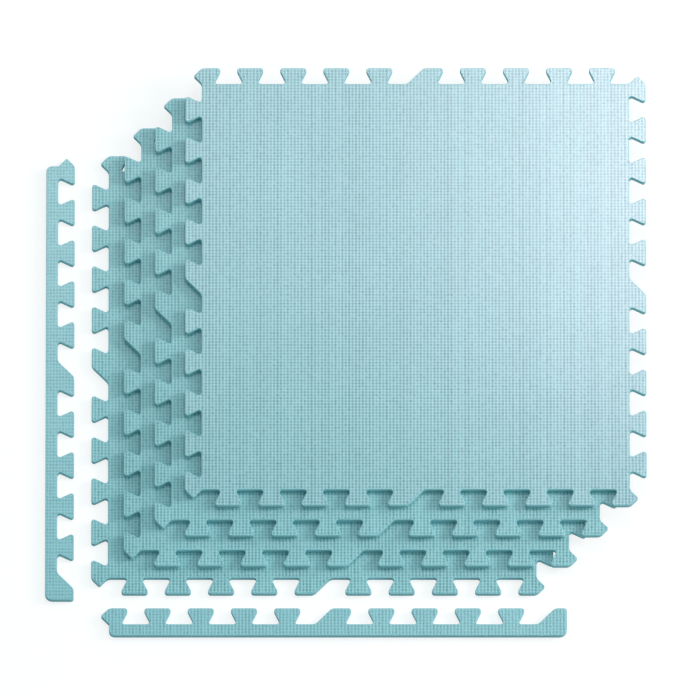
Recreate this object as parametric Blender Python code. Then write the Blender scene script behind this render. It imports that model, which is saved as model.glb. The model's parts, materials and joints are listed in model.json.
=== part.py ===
"""Interlocking foam mats for blocking knitting: four square mats in a stack, two edge strips.

The mats are identical, and so are the strips. They lie as a set does when it is laid out:
each mat rests on the one below, stepped to the right and to the back, and the two strips lie
on the floor beside the bottom mat, pulled straight out from the sides that they fit.

Every side of a mat carries the same toothed line. A point on it is written (along, out), where
along runs from one corner junction to the next and out runs from the notch floors to the tooth
tips. Turned by half a turn about its middle, the line falls on itself with teeth and notches
swapped. So any side of a mat mates with any side of another, and with a strip.

Metres, +Z up. The origin is under the middle of the whole layout, on the floor.
"""

import math

import bmesh
import bpy

# The mat
MAT_SIDE = 0.600            # from junction to junction, half way up the teeth
MAT_THICKNESS = 0.010
TOOTH_PITCH = 0.0582        # from one tooth to the next
TOOTH_DEPTH = 0.0225        # notch floor to tooth tip
FLANK_LEAN = 0.011          # how far a flank leans over its notch
CORNER_RUN = 0.033          # junction to the corner tooth's flank, half way up
TOOTH_RADIUS = 0.0035       # rounding in plan of teeth and of notches
SLANT_RADIUS = 0.010        # rounding in plan where a slanted edge meets a straight one
TIP_RADIUS = 0.0018         # rounding in plan of the pointed corner tips

# The strip
STRIP_BAND = 0.0165         # plain band behind the notches
STRIP_END_RADIUS = 0.0095   # outer corner at the far end
STRIP_START_RADIUS = 0.008  # outer corner at the pointed end

# Clearances
FIT_GAP = 0.0004            # between two pieces that are pushed together
REST_GAP = 0.0003           # between a mat and the one that it rests on

# How the set is laid out by hand: each mat to the right of the one below, and behind it
SECOND_RIGHT = 0.0438
SECOND_BACK = 0.0362
THIRD_RIGHT = 0.0415
THIRD_BACK = 0.0394
TOP_RIGHT = 0.0405
TOP_BACK = 0.0394

# How far each strip is pulled out from the side that it fits, and moved along it
FRONT_STRIP_PULL = 0.0425
FRONT_STRIP_SHIFT = 0.0015  # to the right
SIDE_STRIP_PULL = 0.0455
SIDE_STRIP_SHIFT = 0.0082   # to the back

ARC_CHORD = 0.003           # longest straight piece in a rounding

MAT_STEPS = (
    ("mat_bottom", 0.0, 0.0),
    ("mat_second", SECOND_RIGHT, SECOND_BACK),
    ("mat_third", THIRD_RIGHT, THIRD_BACK),
    ("mat_top", TOP_RIGHT, TOP_BACK),
)

FOAM_COLOUR = (0.38, 0.67, 0.73, 1.0)
FOAM_ROUGHNESS = 0.75


def clear_scene():
    """Remove what is in the scene."""
    for obj in list(bpy.data.objects):
        bpy.data.objects.remove(obj, do_unlink=True)


def foam_material(name):
    """Matte closed-cell foam, one material for each piece."""
    material = bpy.data.materials.new(name)
    material.use_nodes = True
    shader = material.node_tree.nodes["Principled BSDF"]
    shader.inputs["Base Color"].default_value = FOAM_COLOUR
    shader.inputs["Roughness"].default_value = FOAM_ROUGHNESS
    shader.inputs["Metallic"].default_value = 0.0
    return material


# The toothed line: corners are (along, out, radius)

def teeth_per_half():
    """Whole teeth after the corner tooth that fit before the slanted step in the middle."""
    least_run = TOOTH_DEPTH / 2 + FLANK_LEAN / 2 + 2 * TOOTH_RADIUS
    room = MAT_SIDE / 2 - CORNER_RUN - least_run
    return max(0, math.floor(room / TOOTH_PITCH))


def flank(middle, lean, rises):
    """The two corners of one flank, in the order in which the line meets them."""
    low = (middle - lean / 2, 0.0, TOOTH_RADIUS)
    high = (middle + lean / 2, TOOTH_DEPTH, TOOTH_RADIUS)
    return [low, high] if rises else [high, low]


def first_half():
    """From the junction's tip, over the teeth, to the foot of the slanted middle step."""
    corners = [(0.0, TOOTH_DEPTH / 2, TIP_RADIUS)]
    corners.append((TOOTH_DEPTH / 2, TOOTH_DEPTH, SLANT_RADIUS))
    corners += flank(CORNER_RUN, FLANK_LEAN, False)
    for tooth in range(teeth_per_half()):
        falling = CORNER_RUN + (tooth + 1) * TOOTH_PITCH
        corners += flank(falling - TOOTH_PITCH / 2, -FLANK_LEAN, True)
        corners += flank(falling, FLANK_LEAN, False)
    corners.append((MAT_SIDE / 2 - TOOTH_DEPTH / 2, 0.0, SLANT_RADIUS))
    return corners


def toothed_line():
    """One whole side: the first half, then the same half turned about the side's middle.

    The turned half's last corner is the next side's tip, so it is left off here.
    """
    half = first_half()
    turned = [(MAT_SIDE - along, TOOTH_DEPTH - out, radius) for along, out, radius in half]
    return half + turned[:0:-1]


def mat_corners():
    """A mat's outline round its own middle: the toothed line four times, a quarter turn each."""
    corners = []
    for quarter in range(4):
        turn = -quarter * math.pi / 2
        cosine, sine = round(math.cos(turn)), round(math.sin(turn))
        for along, out, radius in toothed_line():
            x = along - MAT_SIDE / 2
            y = MAT_SIDE / 2 - TOOTH_DEPTH / 2 + out
            corners.append((x * cosine - y * sine, x * sine + y * cosine, radius))
    return corners[::-1]


def strip_corners():
    """A strip's outline round the middle of its toothed line.

    It starts in a point and ends in a block that reaches past the junction, so that the next
    strip round the corner, with its own point there, comes flush with the block's end.
    """
    far_end = MAT_SIDE + TOOTH_DEPTH / 2 + STRIP_BAND
    corners = toothed_line()
    corners.append((MAT_SIDE + TOOTH_DEPTH / 2, TOOTH_DEPTH, SLANT_RADIUS))
    corners.append((far_end, TOOTH_DEPTH, TOOTH_RADIUS))
    corners.append((far_end, -STRIP_BAND, STRIP_END_RADIUS))
    corners.append((TOOTH_DEPTH / 2, -STRIP_BAND, STRIP_START_RADIUS))
    corners.append((TOOTH_DEPTH / 2, 0.0, TIP_RADIUS))
    middle = [(along - MAT_SIDE / 2, out - TOOTH_DEPTH / 2, radius) for along, out, radius in corners]
    return middle[::-1]


# From corners to a rounded outline

def unit(ax, ay, bx, by):
    """The direction from a to b, and the distance."""
    length = math.hypot(bx - ax, by - ay)
    return (bx - ax) / length, (by - ay) / length, length


def drawn_in(corners, inset):
    """An anticlockwise outline with each edge moved inwards by inset."""
    moved = []
    for index, (x, y, radius) in enumerate(corners):
        before = corners[index - 1]
        after = corners[(index + 1) % len(corners)]
        ax, ay, _ = unit(before[0], before[1], x, y)
        bx, by, _ = unit(x, y, after[0], after[1])
        share = inset / (1 + ax * bx + ay * by)
        moved.append((x - (ay + by) * share, y + (ax + bx) * share, radius))
    return moved


def rounded(corners):
    """The outline's points, with an arc of the given radius in place of each corner."""
    points = []
    for index, (x, y, radius) in enumerate(corners):
        before = corners[index - 1]
        after = corners[(index + 1) % len(corners)]
        ax, ay, before_length = unit(x, y, before[0], before[1])
        bx, by, after_length = unit(x, y, after[0], after[1])
        half_angle = math.acos(max(-1.0, min(1.0, ax * bx + ay * by))) / 2
        room = 0.45 * min(before_length, after_length)
        reach = min(radius / math.tan(half_angle), room)
        real_radius = reach * math.tan(half_angle)
        middle = math.hypot(reach, real_radius)
        mx, my, _ = unit(0, 0, ax + bx, ay + by)
        cx, cy = x + mx * middle, y + my * middle
        start = math.atan2(y + ay * reach - cy, x + ax * reach - cx)
        end = math.atan2(y + by * reach - cy, x + bx * reach - cx)
        sweep = (end - start + math.pi) % (2 * math.pi) - math.pi
        steps = math.ceil(real_radius * abs(sweep) / ARC_CHORD)
        for step in range(steps + 1):
            angle = start + sweep * step / steps
            points.append((cx + real_radius * math.cos(angle), cy + real_radius * math.sin(angle)))
    return points


def sheet_outline(corners):
    """Corners to points, drawn in by half the gap that two mated pieces share."""
    return rounded(drawn_in(corners, FIT_GAP / 2))


def sheet_mesh(name, outline):
    """A flat sheet of foam: the outline as a face, pulled up by the thickness."""
    builder = bmesh.new()
    under = builder.faces.new([builder.verts.new((x, y, 0.0)) for x, y in outline])
    lifted = bmesh.ops.extrude_face_region(builder, geom=[under])
    top = [item for item in lifted["geom"] if isinstance(item, bmesh.types.BMVert)]
    bmesh.ops.translate(builder, vec=(0.0, 0.0, MAT_THICKNESS), verts=top)
    bmesh.ops.recalc_face_normals(builder, faces=builder.faces)
    mesh = bpy.data.meshes.new(name)
    builder.to_mesh(mesh)
    builder.free()
    return mesh


# The layout

def place(name, mesh, location, turn=0.0):
    """One piece: its mesh set down at its place, with its own foam."""
    obj = bpy.data.objects.new(name, mesh.copy())
    obj.data.materials.append(foam_material(name + "_foam"))
    obj.location = location
    obj.rotation_euler = (0.0, 0.0, turn)
    bpy.context.scene.collection.objects.link(obj)
    return obj


def centre_on_floor(pieces):
    """Slide the whole layout so that the origin is under the middle of its box, on the floor."""
    bpy.context.view_layer.update()
    points = [piece.matrix_world @ vertex.co for piece in pieces for vertex in piece.data.vertices]
    across = [point.x for point in points]
    along = [point.y for point in points]
    for piece in pieces:
        piece.location.x -= (min(across) + max(across)) / 2
        piece.location.y -= (min(along) + max(along)) / 2


def build():
    """Set out the stack of mats and the two strips round the bottom mat's middle."""
    clear_scene()
    mat = sheet_mesh("mat", sheet_outline(mat_corners()))
    strip = sheet_mesh("strip", sheet_outline(strip_corners()))

    pieces = []
    right = back = 0.0
    for level, (name, step_right, step_back) in enumerate(MAT_STEPS):
        right += step_right
        back += step_back
        pieces.append(place(name, mat, (right, back, level * (MAT_THICKNESS + REST_GAP))))

    front = -MAT_SIDE / 2 - FRONT_STRIP_PULL
    left = -MAT_SIDE / 2 - SIDE_STRIP_PULL
    pieces.append(place("edge_strip_front", strip, (FRONT_STRIP_SHIFT, front, 0.0)))
    pieces.append(place("edge_strip_side", strip, (left, SIDE_STRIP_SHIFT, 0.0), -math.pi / 2))
    centre_on_floor(pieces)

    bpy.data.meshes.remove(mat)
    bpy.data.meshes.remove(strip)


build()
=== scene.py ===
"""Interlocking foam mats for blocking knitting: the finish of the four mats and two edge strips.

Each piece is a sheet of closed-cell EVA foam. Its upper face carries the emboss of the roll it was
cut from, its sides are die-cut, and its edges are pressed slightly round by the die. All lengths
are in metres.
"""
import json
import math

import bpy
import numpy as np
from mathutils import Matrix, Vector
from mathutils.geometry import delaunay_2d_cdt


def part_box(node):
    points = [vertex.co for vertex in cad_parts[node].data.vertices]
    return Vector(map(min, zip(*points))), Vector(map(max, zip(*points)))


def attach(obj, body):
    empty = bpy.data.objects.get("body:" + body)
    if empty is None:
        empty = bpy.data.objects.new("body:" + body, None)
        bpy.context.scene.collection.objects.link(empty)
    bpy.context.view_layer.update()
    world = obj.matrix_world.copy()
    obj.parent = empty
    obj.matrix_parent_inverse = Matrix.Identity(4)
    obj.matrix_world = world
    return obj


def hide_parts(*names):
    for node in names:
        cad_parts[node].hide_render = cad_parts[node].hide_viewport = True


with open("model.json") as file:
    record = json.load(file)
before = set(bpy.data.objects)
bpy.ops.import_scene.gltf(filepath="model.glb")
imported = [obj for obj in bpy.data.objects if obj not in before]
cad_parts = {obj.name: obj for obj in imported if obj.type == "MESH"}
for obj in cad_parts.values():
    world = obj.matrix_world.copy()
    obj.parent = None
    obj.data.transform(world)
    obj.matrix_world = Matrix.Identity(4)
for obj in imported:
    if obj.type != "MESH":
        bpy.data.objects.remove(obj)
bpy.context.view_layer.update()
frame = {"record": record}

MM = 0.001

# The sizes of a mat and of a strip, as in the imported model
MAT_SIDE = 600 * MM
THICKNESS = 10 * MM
TOOTH_PITCH = 58.2 * MM
TOOTH_DEPTH = 22.5 * MM
FLANK_LEAN = 11 * MM
CORNER_RUN = 33 * MM
TEETH_PER_HALF = 4
TOOTH_RADIUS = 3.5 * MM
SLANT_RADIUS = 10 * MM
TIP_RADIUS = 1.8 * MM
STRIP_BAND = 16.5 * MM
STRIP_END_RADIUS = 9.5 * MM
STRIP_START_RADIUS = 8 * MM
FIT_GAP = 0.4 * MM

# The emboss: a lattice of shallow pits between ridges
CELL_ALONG = 4.6 * MM
CELL_ACROSS = 4.2 * MM
PIT_DEPTH = 0.70 * MM
RIDGE_DIP_ALONG = 0.24 * MM     # how far the ridge between two pits that follow along dips
RIDGE_DIP_ACROSS = 0.40 * MM    # the same between two pits that lie across
PIT_UNEVEN = 0.12               # how far single pits and ridges stray, as a share of their depth
COLUMN_UNEVEN = 0.09            # the same for whole columns of pits
STRAY_LIMIT = 2.0               # nothing strays further than this many times the usual

# The cut
EDGE_ROUND = 0.8 * MM
EDGE_BANDS = 3                  # bands of faces over a rounded edge
EDGE_STEP = 2.3 * MM            # longest straight piece of a cut edge
ARC_STEPS = 4                   # straight pieces in an arc of the outline
ARC_ROOM = 0.45                 # most of a straight edge that the arc at one end may take
CELL_MARGIN = 0.9 * MM          # least distance of a lattice point from the cut
LEAST_AREA = 1e-6 * MM * MM     # a triangle below this is a sliver between points in one line
SAME_POINT = 1e-6 * MM          # points nearer than this are one
WHOLE_HULL = 0                  # kind of triangulation: all triangles within the points' hull
POINTS_AT_ONCE = 1500           # tested together against an outline, to save memory


# ---------------------------------------------------------------------------------------------
# The toothed line and the outlines: arrays of corners (along, out, radius)

def flank(middle, lean, rises):
    """One flank: a corner at the notch floor and one at the tooth tip, lean apart sideways."""
    low = [middle - lean / 2, 0.0, TOOTH_RADIUS]
    high = [middle + lean / 2, TOOTH_DEPTH, TOOTH_RADIUS]
    return [low, high] if rises else [high, low]


def toothed_line():
    """One side: half of it from its corners, then the same half turned about the side's middle."""
    half = [[0.0, TOOTH_DEPTH / 2, TIP_RADIUS], [TOOTH_DEPTH / 2, TOOTH_DEPTH, SLANT_RADIUS]]
    half += flank(CORNER_RUN, FLANK_LEAN, False)
    for tooth in range(1, TEETH_PER_HALF + 1):
        falling = CORNER_RUN + tooth * TOOTH_PITCH
        half += flank(falling - TOOTH_PITCH / 2, -FLANK_LEAN, True)
        half += flank(falling, FLANK_LEAN, False)
    half.append([(MAT_SIDE - TOOTH_DEPTH) / 2, 0.0, SLANT_RADIUS])
    half = np.array(half)
    turned = half * [-1, -1, 1] + [MAT_SIDE, TOOTH_DEPTH, 0]
    return np.concatenate([half, turned[:0:-1]])


def mat_corners():
    """A mat round its own middle: the toothed line four times, each a quarter turn on."""
    side = toothed_line() + [-MAT_SIDE / 2, (MAT_SIDE - TOOTH_DEPTH) / 2, 0]
    quarter = np.array([[0, -1, 0], [1, 0, 0], [0, 0, 1]])
    sides = [side @ np.linalg.matrix_power(quarter, turn) for turn in range(4)]
    return np.concatenate(sides)[::-1]


def strip_corners():
    """A strip round the middle of its toothed line: pointed start, plain band, end block."""
    far_end = MAT_SIDE + TOOTH_DEPTH / 2 + STRIP_BAND
    rest = [[MAT_SIDE + TOOTH_DEPTH / 2, TOOTH_DEPTH, SLANT_RADIUS],
            [far_end, TOOTH_DEPTH, TOOTH_RADIUS],
            [far_end, -STRIP_BAND, STRIP_END_RADIUS],
            [TOOTH_DEPTH / 2, -STRIP_BAND, STRIP_START_RADIUS],
            [TOOTH_DEPTH / 2, 0.0, TIP_RADIUS]]
    corners = np.concatenate([toothed_line(), rest])
    return (corners - [MAT_SIDE / 2, TOOTH_DEPTH / 2, 0])[::-1]


def unit(vectors):
    """Vectors brought to length one."""
    return vectors / np.linalg.norm(vectors, axis=-1, keepdims=True)


def drawn_in(points, inset):
    """A closed anticlockwise line moved inwards: each point goes along the sum of the normals of
    its two edges, far enough that both edges move by inset."""
    into = unit(points - np.roll(points, 1, axis=0))
    out_of = np.roll(into, -1, axis=0)
    share = inset / (1 + (into * out_of).sum(axis=1, keepdims=True))
    total = into + out_of
    return points + np.stack([-total[:, 1], total[:, 0]], axis=1) * share


def rounded(corners):
    """Corners to arcs: each arc's centre lies on its corner's bisector, and its ends lie
    radius / tan(half the corner's angle) along the two edges."""
    points, radius = drawn_in(corners[:, :2], FIT_GAP / 2), corners[:, 2]
    back = np.roll(points, 1, axis=0) - points
    ahead = np.roll(points, -1, axis=0) - points
    room = ARC_ROOM * np.minimum(np.linalg.norm(back, axis=1), np.linalg.norm(ahead, axis=1))
    back, ahead = unit(back), unit(ahead)
    half = np.arccos((back * ahead).sum(axis=1)) / 2
    reach = np.minimum(radius / np.tan(half), room)
    radius = reach * np.tan(half)
    centre = points + unit(back + ahead) * np.hypot(reach, radius)[:, None]
    start = points + back * reach[:, None] - centre
    end = points + ahead * reach[:, None] - centre
    first = np.arctan2(start[:, 1], start[:, 0])
    sweep = np.arctan2(end[:, 1], end[:, 0]) - first
    sweep = (sweep + math.pi) % (2 * math.pi) - math.pi
    angle = first[:, None] + sweep[:, None] * np.linspace(0, 1, ARC_STEPS + 1)
    arcs = np.stack([np.cos(angle), np.sin(angle)], axis=2) * radius[:, None, None]
    return (arcs + centre[:, None]).reshape(-1, 2)


def stepped(points, step):
    """A closed line with points added so that no straight piece is longer than step."""
    run = np.roll(points, -1, axis=0) - points
    count = np.ceil(np.linalg.norm(run, axis=1) / step).astype(int)
    index = np.repeat(np.arange(len(points)), count)
    place = np.arange(count.sum()) - np.repeat(np.cumsum(count) - count, count)
    return points[index] + run[index] * (place / count[index])[:, None]


# ---------------------------------------------------------------------------------------------
# The embossed upper face

def emboss(points, phase):
    """Depth of the emboss below the ridges' crossings.

    With a = sin(pi x / cell)^2 and b = sin(pi y / cell)^2, the depth is the ridges' dips times
    a and b, and the rest of the pit's depth times a b, so it is deepest in a cell's middle.
    Single points stray by a share of their depth, because foam springs back unevenly from the
    embossing roll, and whole columns stray together, because the roll is worn unevenly. The
    piece's own phase seeds the strays.
    """
    along = points[:, 0] / CELL_ALONG + phase[0]
    across = points[:, 1] / CELL_ACROSS + phase[1]
    a = np.sin(math.pi * along) ** 2
    b = np.sin(math.pi * across) ** 2
    rest = PIT_DEPTH - RIDGE_DIP_ALONG - RIDGE_DIP_ACROSS
    even = RIDGE_DIP_ACROSS * a + RIDGE_DIP_ALONG * b + rest * a * b

    def stray(values):
        return values.clip(-STRAY_LIMIT, STRAY_LIMIT)

    chance = np.random.default_rng(round(1000 * phase[0]))
    column = np.round(2 * along).astype(int)
    column -= column.min()
    columns = stray(chance.standard_normal(column.max() + 1))[column]
    pits = stray(chance.standard_normal(len(points)))
    return even * (1 + (PIT_UNEVEN * pits + COLUMN_UNEVEN * columns))


def inside(points, outline, margin):
    """Whether each point is inside the outline and further than margin from it: an odd number of
    edges crosses the ray to its right, and no edge is nearer than margin."""
    start, run = outline, np.roll(outline, -1, axis=0) - outline
    result = np.zeros(len(points), bool)
    blocks = max(1, len(points) // POINTS_AT_ONCE)
    rise = np.where(run[:, 1] == 0, 1e-12, run[:, 1])       # keeps a level edge from dividing by 0
    for block in np.array_split(np.arange(len(points)), blocks):
        offset = points[block, None] - start
        level = offset[..., 1] / rise
        crossing = (level >= 0) & (level < 1) & (run[:, 0] * level > offset[..., 0])
        share = np.clip((offset * run).sum(-1) / (run * run).sum(-1), 0, 1)
        distance = np.linalg.norm(offset - run * share[..., None], axis=-1).min(axis=1)
        result[block] = (crossing.sum(axis=1) % 2 == 1) & (distance > margin)
    return result


def lattice(outline, phase):
    """The lattice points half a cell apart over the outline, as a grid, with a mask of those
    that are clear inside the cut.

    The points of a square core that stays well inside a mat's notches are clear without a test.
    On a strip, which is narrow, there is no such core.
    """
    low, high = outline.min(axis=0), outline.max(axis=0)
    half = np.array([CELL_ALONG, CELL_ACROSS]) / 2
    shift = -2 * np.array(phase) * half
    first = np.ceil((low - shift) / half).astype(int)
    last = np.floor((high - shift) / half).astype(int)
    x = np.arange(first[0], last[0] + 1) * half[0] + shift[0]
    y = np.arange(first[1], last[1] + 1) * half[1] + shift[1]
    grid = np.stack(np.meshgrid(x, y, indexing="ij"), axis=2)
    flat = grid.reshape(-1, 2)
    core = np.abs(outline).max(axis=1).min() - 2 * TOOTH_DEPTH
    near = np.abs(flat).max(axis=1) > core
    clear = np.ones(len(flat), bool)
    clear[near] = inside(flat[near], outline, CELL_MARGIN)
    return grid, clear.reshape(grid.shape[:2])


def rim_triangles(outline, grid, clear, whole):
    """Triangles between the cut and the whole lattice squares.

    Their corners are the outline's points and the clear lattice points that no ring of whole
    squares closes in. They are Delaunay triangles, held to the outline and to the squares' sides.
    """
    squares_round = np.zeros(clear.shape, int)
    squares_round[:-1, :-1] += whole
    squares_round[1:, :-1] += whole
    squares_round[:-1, 1:] += whole
    squares_round[1:, 1:] += whole
    loose = clear & (squares_round < 4)
    number = np.full(clear.shape, -1)
    number[loose] = np.arange(loose.sum()) + len(outline)

    padded = np.pad(whole, 1)
    low_side = padded[1:-1, :-1] != padded[1:-1, 1:]
    left_side = padded[:-1, 1:-1] != padded[1:, 1:-1]
    i, j = np.nonzero(low_side)
    across = np.stack([number[i, j], number[i + 1, j]], axis=1)
    i, j = np.nonzero(left_side)
    along = np.stack([number[i, j], number[i, j + 1]], axis=1)
    ring = np.arange(len(outline))
    ring = np.stack([ring, np.roll(ring, -1)], axis=1)
    edges = np.concatenate([ring, across, along])

    points = np.concatenate([outline, grid[loose]])
    made = delaunay_2d_cdt([Vector(point) for point in points], edges.tolist(), [],
                           WHOLE_HULL, SAME_POINT)
    triangles = np.array(made[2])
    middle = points[triangles].mean(axis=1)
    side = points[triangles[:, 1]] - points[triangles[:, 0]]
    other = points[triangles[:, 2]] - points[triangles[:, 0]]
    area = np.abs(side[:, 0] * other[:, 1] - side[:, 1] * other[:, 0]) / 2
    keep = inside(middle, outline, 0.0) & (area > LEAST_AREA)
    step = grid[1, 1] - grid[0, 0]
    cell = np.floor((middle - grid[0, 0]) / step).astype(int) + 1
    cell = np.clip(cell, 0, np.array(padded.shape) - 1)
    keep &= ~padded[cell[:, 0], cell[:, 1]]
    return triangles[keep], loose, number


def foam_sheet(name, corners, phase, turn, place, skin):
    """One sheet of foam, embossed above, cut round the outline and plain below.

    The upper face is the lattice with its rim. From the rim, rings go over the rounded edge, down
    the cut and under to the lower face, which is one polygon.
    """
    outline = stepped(rounded(corners), EDGE_STEP)
    rim = drawn_in(outline, EDGE_ROUND)
    grid, clear = lattice(rim, phase)
    whole = clear[:-1, :-1] & clear[1:, :-1] & clear[:-1, 1:] & clear[1:, 1:]
    triangles, loose, number = rim_triangles(rim, grid, clear, whole)

    top = np.concatenate([rim, grid[loose], grid[clear & ~loose]])
    number[clear & ~loose] = np.arange(len(rim) + loose.sum(), len(top))
    i, j = np.nonzero(whole)
    squares = np.stack([number[i, j], number[i + 1, j],
                        number[i + 1, j + 1], number[i, j + 1]], axis=1)
    # Each square's first and third corners have to be a ridges' crossing and a pit's bottom, so
    # that the fold across the square runs down into the pit
    half_cells = grid[i, j] / (grid[1, 1] - grid[0, 0]) + 2 * np.array(phase)
    odd = np.round(half_cells).sum(axis=1) % 2 == 1
    squares[odd] = np.roll(squares[odd], 1, axis=1)
    depth = emboss(top, phase)
    top = np.column_stack([top, THICKNESS - depth])

    angles = np.linspace(0, math.pi / 2, EDGE_BANDS + 1)[1:]
    count = len(rim)
    rings = []
    for angle in angles:
        line = drawn_in(outline, EDGE_ROUND * (1 - math.sin(angle)))
        height = THICKNESS - EDGE_ROUND * (1 - math.cos(angle))
        rings.append(np.column_stack([line, height - depth[:count] * math.cos(angle)]))
    for angle in angles[::-1]:
        line = drawn_in(outline, EDGE_ROUND * (1 - math.sin(angle)))
        height = EDGE_ROUND * (1 - math.cos(angle))
        rings.append(np.column_stack([line, np.full(count, height)]))
    rings.append(np.column_stack([rim, np.zeros(count)]))

    points = np.concatenate([top] + rings)
    walls = []
    ring = np.arange(count)
    after = np.roll(ring, -1)
    upper = 0
    for level in range(len(rings)):
        lower = len(top) + level * count
        walls.append(np.stack([upper + ring, lower + ring, lower + after, upper + after], axis=1))
        upper = lower
    walls = np.concatenate(walls)
    below = (upper + ring)[::-1]
    pit = np.zeros(len(points))
    pit[:len(depth)] = depth / PIT_DEPTH
    points[:, :2] -= (outline.min(axis=0) + outline.max(axis=0)) / 2
    return make_piece(name, points, pit, turn, place, skin, squares, triangles, walls, below)


def make_piece(name, points, pit, turn, place, skin, squares, triangles, walls, below):
    """The mesh from its points and faces, turned about +Z and moved to its place.

    The attribute pit is 0 on a ridge's crossing and about 1 at a pit's bottom.
    """
    cosine, sine = math.cos(turn), math.sin(turn)
    spin = np.array([[cosine, sine, 0], [-sine, cosine, 0], [0, 0, 1]])
    points = points @ spin + place

    loops = np.concatenate([squares.ravel(), triangles.ravel(), walls.ravel(), below])
    sizes = np.concatenate([np.full(len(squares), 4), np.full(len(triangles), 3),
                            np.full(len(walls), 4), [len(below)]])
    starts = np.cumsum(sizes) - sizes
    mesh = bpy.data.meshes.new(name)
    mesh.vertices.add(len(points))
    mesh.vertices.foreach_set("co", points.ravel())
    mesh.loops.add(len(loops))
    mesh.loops.foreach_set("vertex_index", loops.astype(np.int32))
    mesh.polygons.add(len(sizes))
    mesh.polygons.foreach_set("loop_start", starts.astype(np.int32))
    mesh.polygons.foreach_set("loop_total", sizes.astype(np.int32))
    wall = np.zeros(len(sizes), bool)
    wall[len(squares) + len(triangles):-1] = True
    mesh.polygons.foreach_set("use_smooth", wall)
    mesh.materials.append(skin)
    mesh.materials.append(CUT)
    mesh.materials.append(BACK)
    slot = np.where(wall, 1, 0)
    slot[-1] = 2
    mesh.polygons.foreach_set("material_index", slot.astype(np.int32))
    mesh.attributes.new("pit", "FLOAT", "POINT").data.foreach_set("value", pit.astype(np.float32))
    mesh.update(calc_edges=True)
    mesh.validate()
    piece = bpy.data.objects.new(name, mesh)
    bpy.context.scene.collection.objects.link(piece)
    return piece


# ---------------------------------------------------------------------------------------------
# Materials

def linear(code):
    """An sRGB hex colour as linear light."""
    value = np.array([int(code[i:i + 2], 16) for i in (1, 3, 5)]) / 255
    value = np.where(value <= 0.04045, value / 12.92, ((value + 0.055) / 1.055) ** 2.4)
    return (*value, 1.0)


def add(tree, kind, settings=None, **inputs):
    """One node: settings are its attributes, inputs its sockets' values or links. A socket goes
    by its name with underscores, or by its number, as _0."""
    node = tree.nodes.new(kind)
    for key, value in (settings or {}).items():
        setattr(node, key, value)
    for key, value in inputs.items():
        number = key[1:]
        socket = node.inputs[int(number) if number.isdigit() else key.replace("_", " ")]
        if isinstance(value, bpy.types.NodeSocket):
            tree.links.new(value, socket)
        else:
            socket.default_value = value
    return node


def new_material(name):
    """A node material without nodes, and its tree."""
    material = bpy.data.materials.new(name)
    material.use_nodes = True
    material.node_tree.nodes.clear()
    return material, material.node_tree


def ramp(tree, factor, low, high, start=0.0, end=1.0):
    """A colour that goes from low to high as factor goes from start to end."""
    node = add(tree, "ShaderNodeValToRGB", Fac=factor)
    first, last = node.color_ramp.elements
    first.position, last.position = start, end
    first.color, last.color = low, high
    return node.outputs["Color"]


WHITE = (1.0, 1.0, 1.0, 1.0)
CLOUD_SIZE = 90 * MM
# How far red, green and blue go with the painted shade in the pits: it is deeper in colour, not
# greyer
PAINTED_PIT_SHADE_TINT = (1.0, 0.8, 0.75)


def foam_material(name, pale, deep, roughness, specular, grain, grain_bump,
                  painted_pit_shade=0.0, bloom=0.0):
    """Closed-cell EVA foam.

    Broad, faint clouds of colour come from uneven pigment, the fine grain from its cells, each
    with half the say in where the colour lies between deep and pale. The colour is painted deeper
    in the pits of the emboss than on its ridges, by the given share at a pit's bottom: this is
    painted shade, standing for the shade that falls in the pits. The bloom is a thin film that
    lies level over the emboss, so that it shines softly as one flat face.
    """
    material, tree = new_material(name)
    place = add(tree, "ShaderNodeTexCoord").outputs["Object"]
    clouds = add(tree, "ShaderNodeTexNoise", Vector=place, Scale=1 / CLOUD_SIZE,
                 Detail=2.0, Roughness=0.5)
    cells = add(tree, "ShaderNodeTexNoise", Vector=place, Scale=1 / grain,
                Detail=3.0, Roughness=0.6)
    half = add(tree, "ShaderNodeMath", {"operation": "MULTIPLY"}, _0=clouds.outputs["Fac"], _1=0.5)
    both = add(tree, "ShaderNodeMath", {"operation": "MULTIPLY_ADD"},
               _0=cells.outputs["Fac"], _1=0.5, _2=half.outputs[0])
    colour = ramp(tree, both.outputs[0], linear(deep), linear(pale), start=0.3, end=0.7)
    # Painted shade: the colour grows darker towards a pit's bottom, following the attribute pit
    if painted_pit_shade:
        bottom = (*(1 - share * painted_pit_shade for share in PAINTED_PIT_SHADE_TINT), 1.0)
        pit = add(tree, "ShaderNodeAttribute", {"attribute_name": "pit"}).outputs["Fac"]
        colour = add(tree, "ShaderNodeMix", {"data_type": "RGBA", "blend_type": "MULTIPLY"},
                     _0=1.0, _6=colour, _7=ramp(tree, pit, WHITE, bottom)).outputs[2]
    bump = add(tree, "ShaderNodeBump", Height=cells.outputs["Fac"], Strength=1.0,
               Distance=grain_bump)
    film = {}
    if bloom:
        up = add(tree, "ShaderNodeCombineXYZ", X=0.0, Y=0.0, Z=1.0)
        level = add(tree, "ShaderNodeVectorTransform",
                    {"vector_type": "NORMAL", "convert_from": "OBJECT", "convert_to": "WORLD"},
                    Vector=up.outputs[0])
        film = {"Coat_Normal": level.outputs[0], "Coat_Weight": bloom,
                "Coat_Roughness": 0.16, "Coat_IOR": 1.8}
    shader = add(tree, "ShaderNodeBsdfPrincipled", Base_Color=colour, Roughness=roughness,
                 Specular_IOR_Level=specular, Normal=bump.outputs[0], **film)
    add(tree, "ShaderNodeOutputMaterial", Surface=shader.outputs[0])
    return material


SKIN_GRAIN = {"specular": 0.3, "grain": 0.9 * MM, "grain_bump": 0.03 * MM}

# EVA foam, calendered and embossed: a closed skin with a satin bloom where the light glances,
# and painted shade in its pits
SKIN = foam_material("eva_foam_embossed_skin", "#A4DDE2", "#9AD3D9", roughness=0.6,
                     painted_pit_shade=0.76, bloom=1.0, **SKIN_GRAIN)
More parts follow.
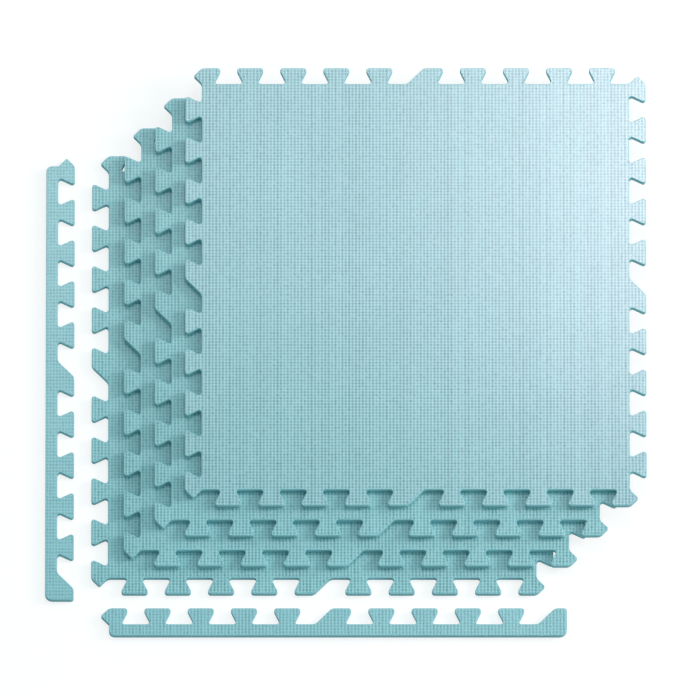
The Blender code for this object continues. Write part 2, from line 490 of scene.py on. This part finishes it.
# A shaded copy of the same skin for the mats that lie under another: less bloom, a more saturated
# teal and a little less painted shade in the pits, painting the shade they lie in under the mat
# above
SHADED_COPY_SKIN = foam_material("eva_foam_skin_painted_shade_copy", "#A5E1E4", "#9BD5D8", roughness=0.65,
                          painted_pit_shade=0.64, bloom=0.4, **SKIN_GRAIN)
# The same skin on the strips, with less painted shade in its pits
STRIP_SKIN = foam_material("eva_foam_strip_skin", "#98D6DB", "#8ECBD1", roughness=0.6,
                           painted_pit_shade=0.42, bloom=0.8, **SKIN_GRAIN)
# EVA foam, die-cut: the cut opens the cells, so it is matt and finely pitted
CUT = foam_material("eva_foam_die_cut", "#98D2D7", "#8CC5CB", roughness=0.75,
                    specular=0.3, grain=0.5 * MM, grain_bump=0.10 * MM)
# EVA foam, underside as it left the press: closed skin, faintly pebbled
BACK = foam_material("eva_foam_plain_skin", "#92C2CA", "#88B8C0", roughness=0.55,
                     specular=0.4, grain=1.6 * MM, grain_bump=0.12 * MM)


# ---------------------------------------------------------------------------------------------
# The pieces

# Where each sheet's cut falls on the emboss, in cells along and across
MAT_PHASES = {"mat_bottom": (0.13, 0.37), "mat_second": (0.58, 0.21),
              "mat_third": (0.32, 0.74), "mat_top": (0.06, 0.48)}
STRIP_PHASES = {"edge_strip_front": (0.41, 0.10), "edge_strip_side": (0.77, 0.63)}
STRIP_TURNS = {"edge_strip_front": 0.0, "edge_strip_side": -math.pi / 2}


def finish_piece(piece, node):
    """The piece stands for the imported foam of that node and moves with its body."""
    bodies = frame["record"]["behaviour"]["bodies"]
    body = next(name for name, nodes in bodies.items() if node in nodes)
    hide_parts(node)
    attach(piece, body)


def place_of(node):
    """The middle of the node's box, on its underside."""
    low, high = (np.array(corner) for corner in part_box(node))
    return np.array([(low[0] + high[0]) / 2, (low[1] + high[1]) / 2, low[2]])


# The mats under the top one take the shaded copy of the skin, which paints their shade
for node, phase in MAT_PHASES.items():
    skin = SKIN if node == "mat_top" else SHADED_COPY_SKIN
    mat = foam_sheet(node + "_foam", mat_corners(), phase, 0.0, place_of(node), skin)
    finish_piece(mat, node)

for node, phase in STRIP_PHASES.items():
    turn = STRIP_TURNS[node]
    strip = foam_sheet(node + "_foam", strip_corners(), phase, turn, place_of(node), STRIP_SKIN)
    finish_piece(strip, node)


# ---------------------------------------------------------------------------------------------
# Floor, light and camera

FRAME_PIXELS = 700
ELEVATION = math.radians(71.6)
DISTANCE = 40.0
PIXELS_PER_METRE = 741.0        # at the floor under the target
TARGET = Vector((0.0055, 0.0098, 0.0))
SENSOR_MM = 36.0
FLOOR_REACH = 60.0
FLOOR_GLOW = 0.77               # what the camera sees of the floor beside what the lamps light


def add_camera():
    """A very long lens, because the photograph's mats hardly narrow with distance."""
    data = bpy.data.cameras.new("camera")
    data.sensor_width = SENSOR_MM
    data.lens = PIXELS_PER_METRE * DISTANCE * SENSOR_MM / FRAME_PIXELS
    data.clip_start = 1.0
    data.clip_end = 200.0
    camera = bpy.data.objects.new("camera", data)
    back = Vector((0, -math.cos(ELEVATION), math.sin(ELEVATION)))
    camera.location = TARGET + back * DISTANCE
    camera.rotation_euler = (math.pi / 2 - ELEVATION, 0, 0)
    bpy.context.scene.collection.objects.link(camera)
    bpy.context.scene.camera = camera


def add_area(name, location, aim, width, height, power, colour):
    """A softbox that faces its aim, with its width level."""
    data = bpy.data.lights.new(name, "AREA")
    data.shape = "RECTANGLE"
    data.size = width
    data.size_y = height
    data.energy = power
    data.color = linear(colour)[:3]
    lamp = bpy.data.objects.new(name, data)
    lamp.location = location
    lamp.rotation_euler = (Vector(aim) - Vector(location)).to_track_quat("-Z", "Y").to_euler()
    bpy.context.scene.collection.objects.link(lamp)


def add_world(strength, lean):
    """Light from all round, seen as plain white by the camera.

    Its strength is multiplied by 1 + the dot product of lean and the direction that it comes
    from, so it is stronger where lean points, and a level face gets as much as from an even sky.
    """
    world = bpy.data.worlds.new("world")
    world.use_nodes = True
    tree = world.node_tree
    tree.nodes.clear()
    path = add(tree, "ShaderNodeLightPath")
    direction = add(tree, "ShaderNodeTexCoord").outputs["Generated"]
    toward = add(tree, "ShaderNodeVectorMath", {"operation": "DOT_PRODUCT"}, _0=direction, _1=lean)
    level = add(tree, "ShaderNodeMath", {"operation": "MULTIPLY_ADD"},
                _0=toward.outputs["Value"], _1=strength, _2=strength)
    light = add(tree, "ShaderNodeBackground", Color=linear("#E0F8FD"), Strength=level.outputs[0])
    seen = add(tree, "ShaderNodeBackground", Color=WHITE, Strength=1.0)
    mix = add(tree, "ShaderNodeMixShader", _0=path.outputs["Is Camera Ray"],
              _1=light.outputs[0], _2=seen.outputs[0])
    add(tree, "ShaderNodeOutputWorld", Surface=mix.outputs[0])
    bpy.context.scene.world = world


def add_floor():
    """A wide white floor that takes the object's shadow.

    It throws light back as grey paint does. The camera sees it lit less, plus an even glow, so
    that it is white and the shadow on it is faint.
    """
    mesh = bpy.data.meshes.new("floor")
    corners = [(-FLOOR_REACH, -FLOOR_REACH, 0), (FLOOR_REACH, -FLOOR_REACH, 0),
               (FLOOR_REACH, FLOOR_REACH, 0), (-FLOOR_REACH, FLOOR_REACH, 0)]
    mesh.from_pydata(corners, [], [(0, 1, 2, 3)])
    material, tree = new_material("floor_paint")
    path = add(tree, "ShaderNodeLightPath")
    paint = add(tree, "ShaderNodeBsdfDiffuse", Color=linear("#C8CACA"))
    seen = add(tree, "ShaderNodeBsdfDiffuse", Color=linear("#929494"))
    glow = add(tree, "ShaderNodeEmission", Color=WHITE, Strength=FLOOR_GLOW)
    both = add(tree, "ShaderNodeAddShader", _0=seen.outputs[0], _1=glow.outputs[0])
    mix = add(tree, "ShaderNodeMixShader", _0=path.outputs["Is Camera Ray"],
              _1=paint.outputs[0], _2=both.outputs[0])
    add(tree, "ShaderNodeOutputMaterial", Surface=mix.outputs[0])
    mesh.materials.append(material)
    floor = bpy.data.objects.new("floor", mesh)
    bpy.context.scene.collection.objects.link(floor)


add_camera()
add_world(strength=0.675, lean=(0.50, 0.34, 0.0))
# The two lamps at the back stand where the level bloom mirrors them softly to the camera
add_area("softbox_back_right", location=(0.98, 2.70, 6.30), aim=(0.98, 0.60, 0.0),
         width=1.35, height=1.35, power=35.5, colour="#FFE8F4")
add_area("strip_light_back", location=(-0.38, 2.46, 6.30), aim=(-0.38, 0.36, 0.0),
         width=2.5, height=0.7, power=11.5, colour="#FFFAFA")
# The lamp at the right is low and warm: it gives the steps of the stack their shadows
add_area("softbox_right", location=(4.4, 0.7, 2.2), aim=(0.0, 0.0, 0.0),
         width=1.5, height=1.5, power=152.0, colour="#FFE8E4")
add_floor()
bpy.context.scene.view_settings.view_transform = "Standard"
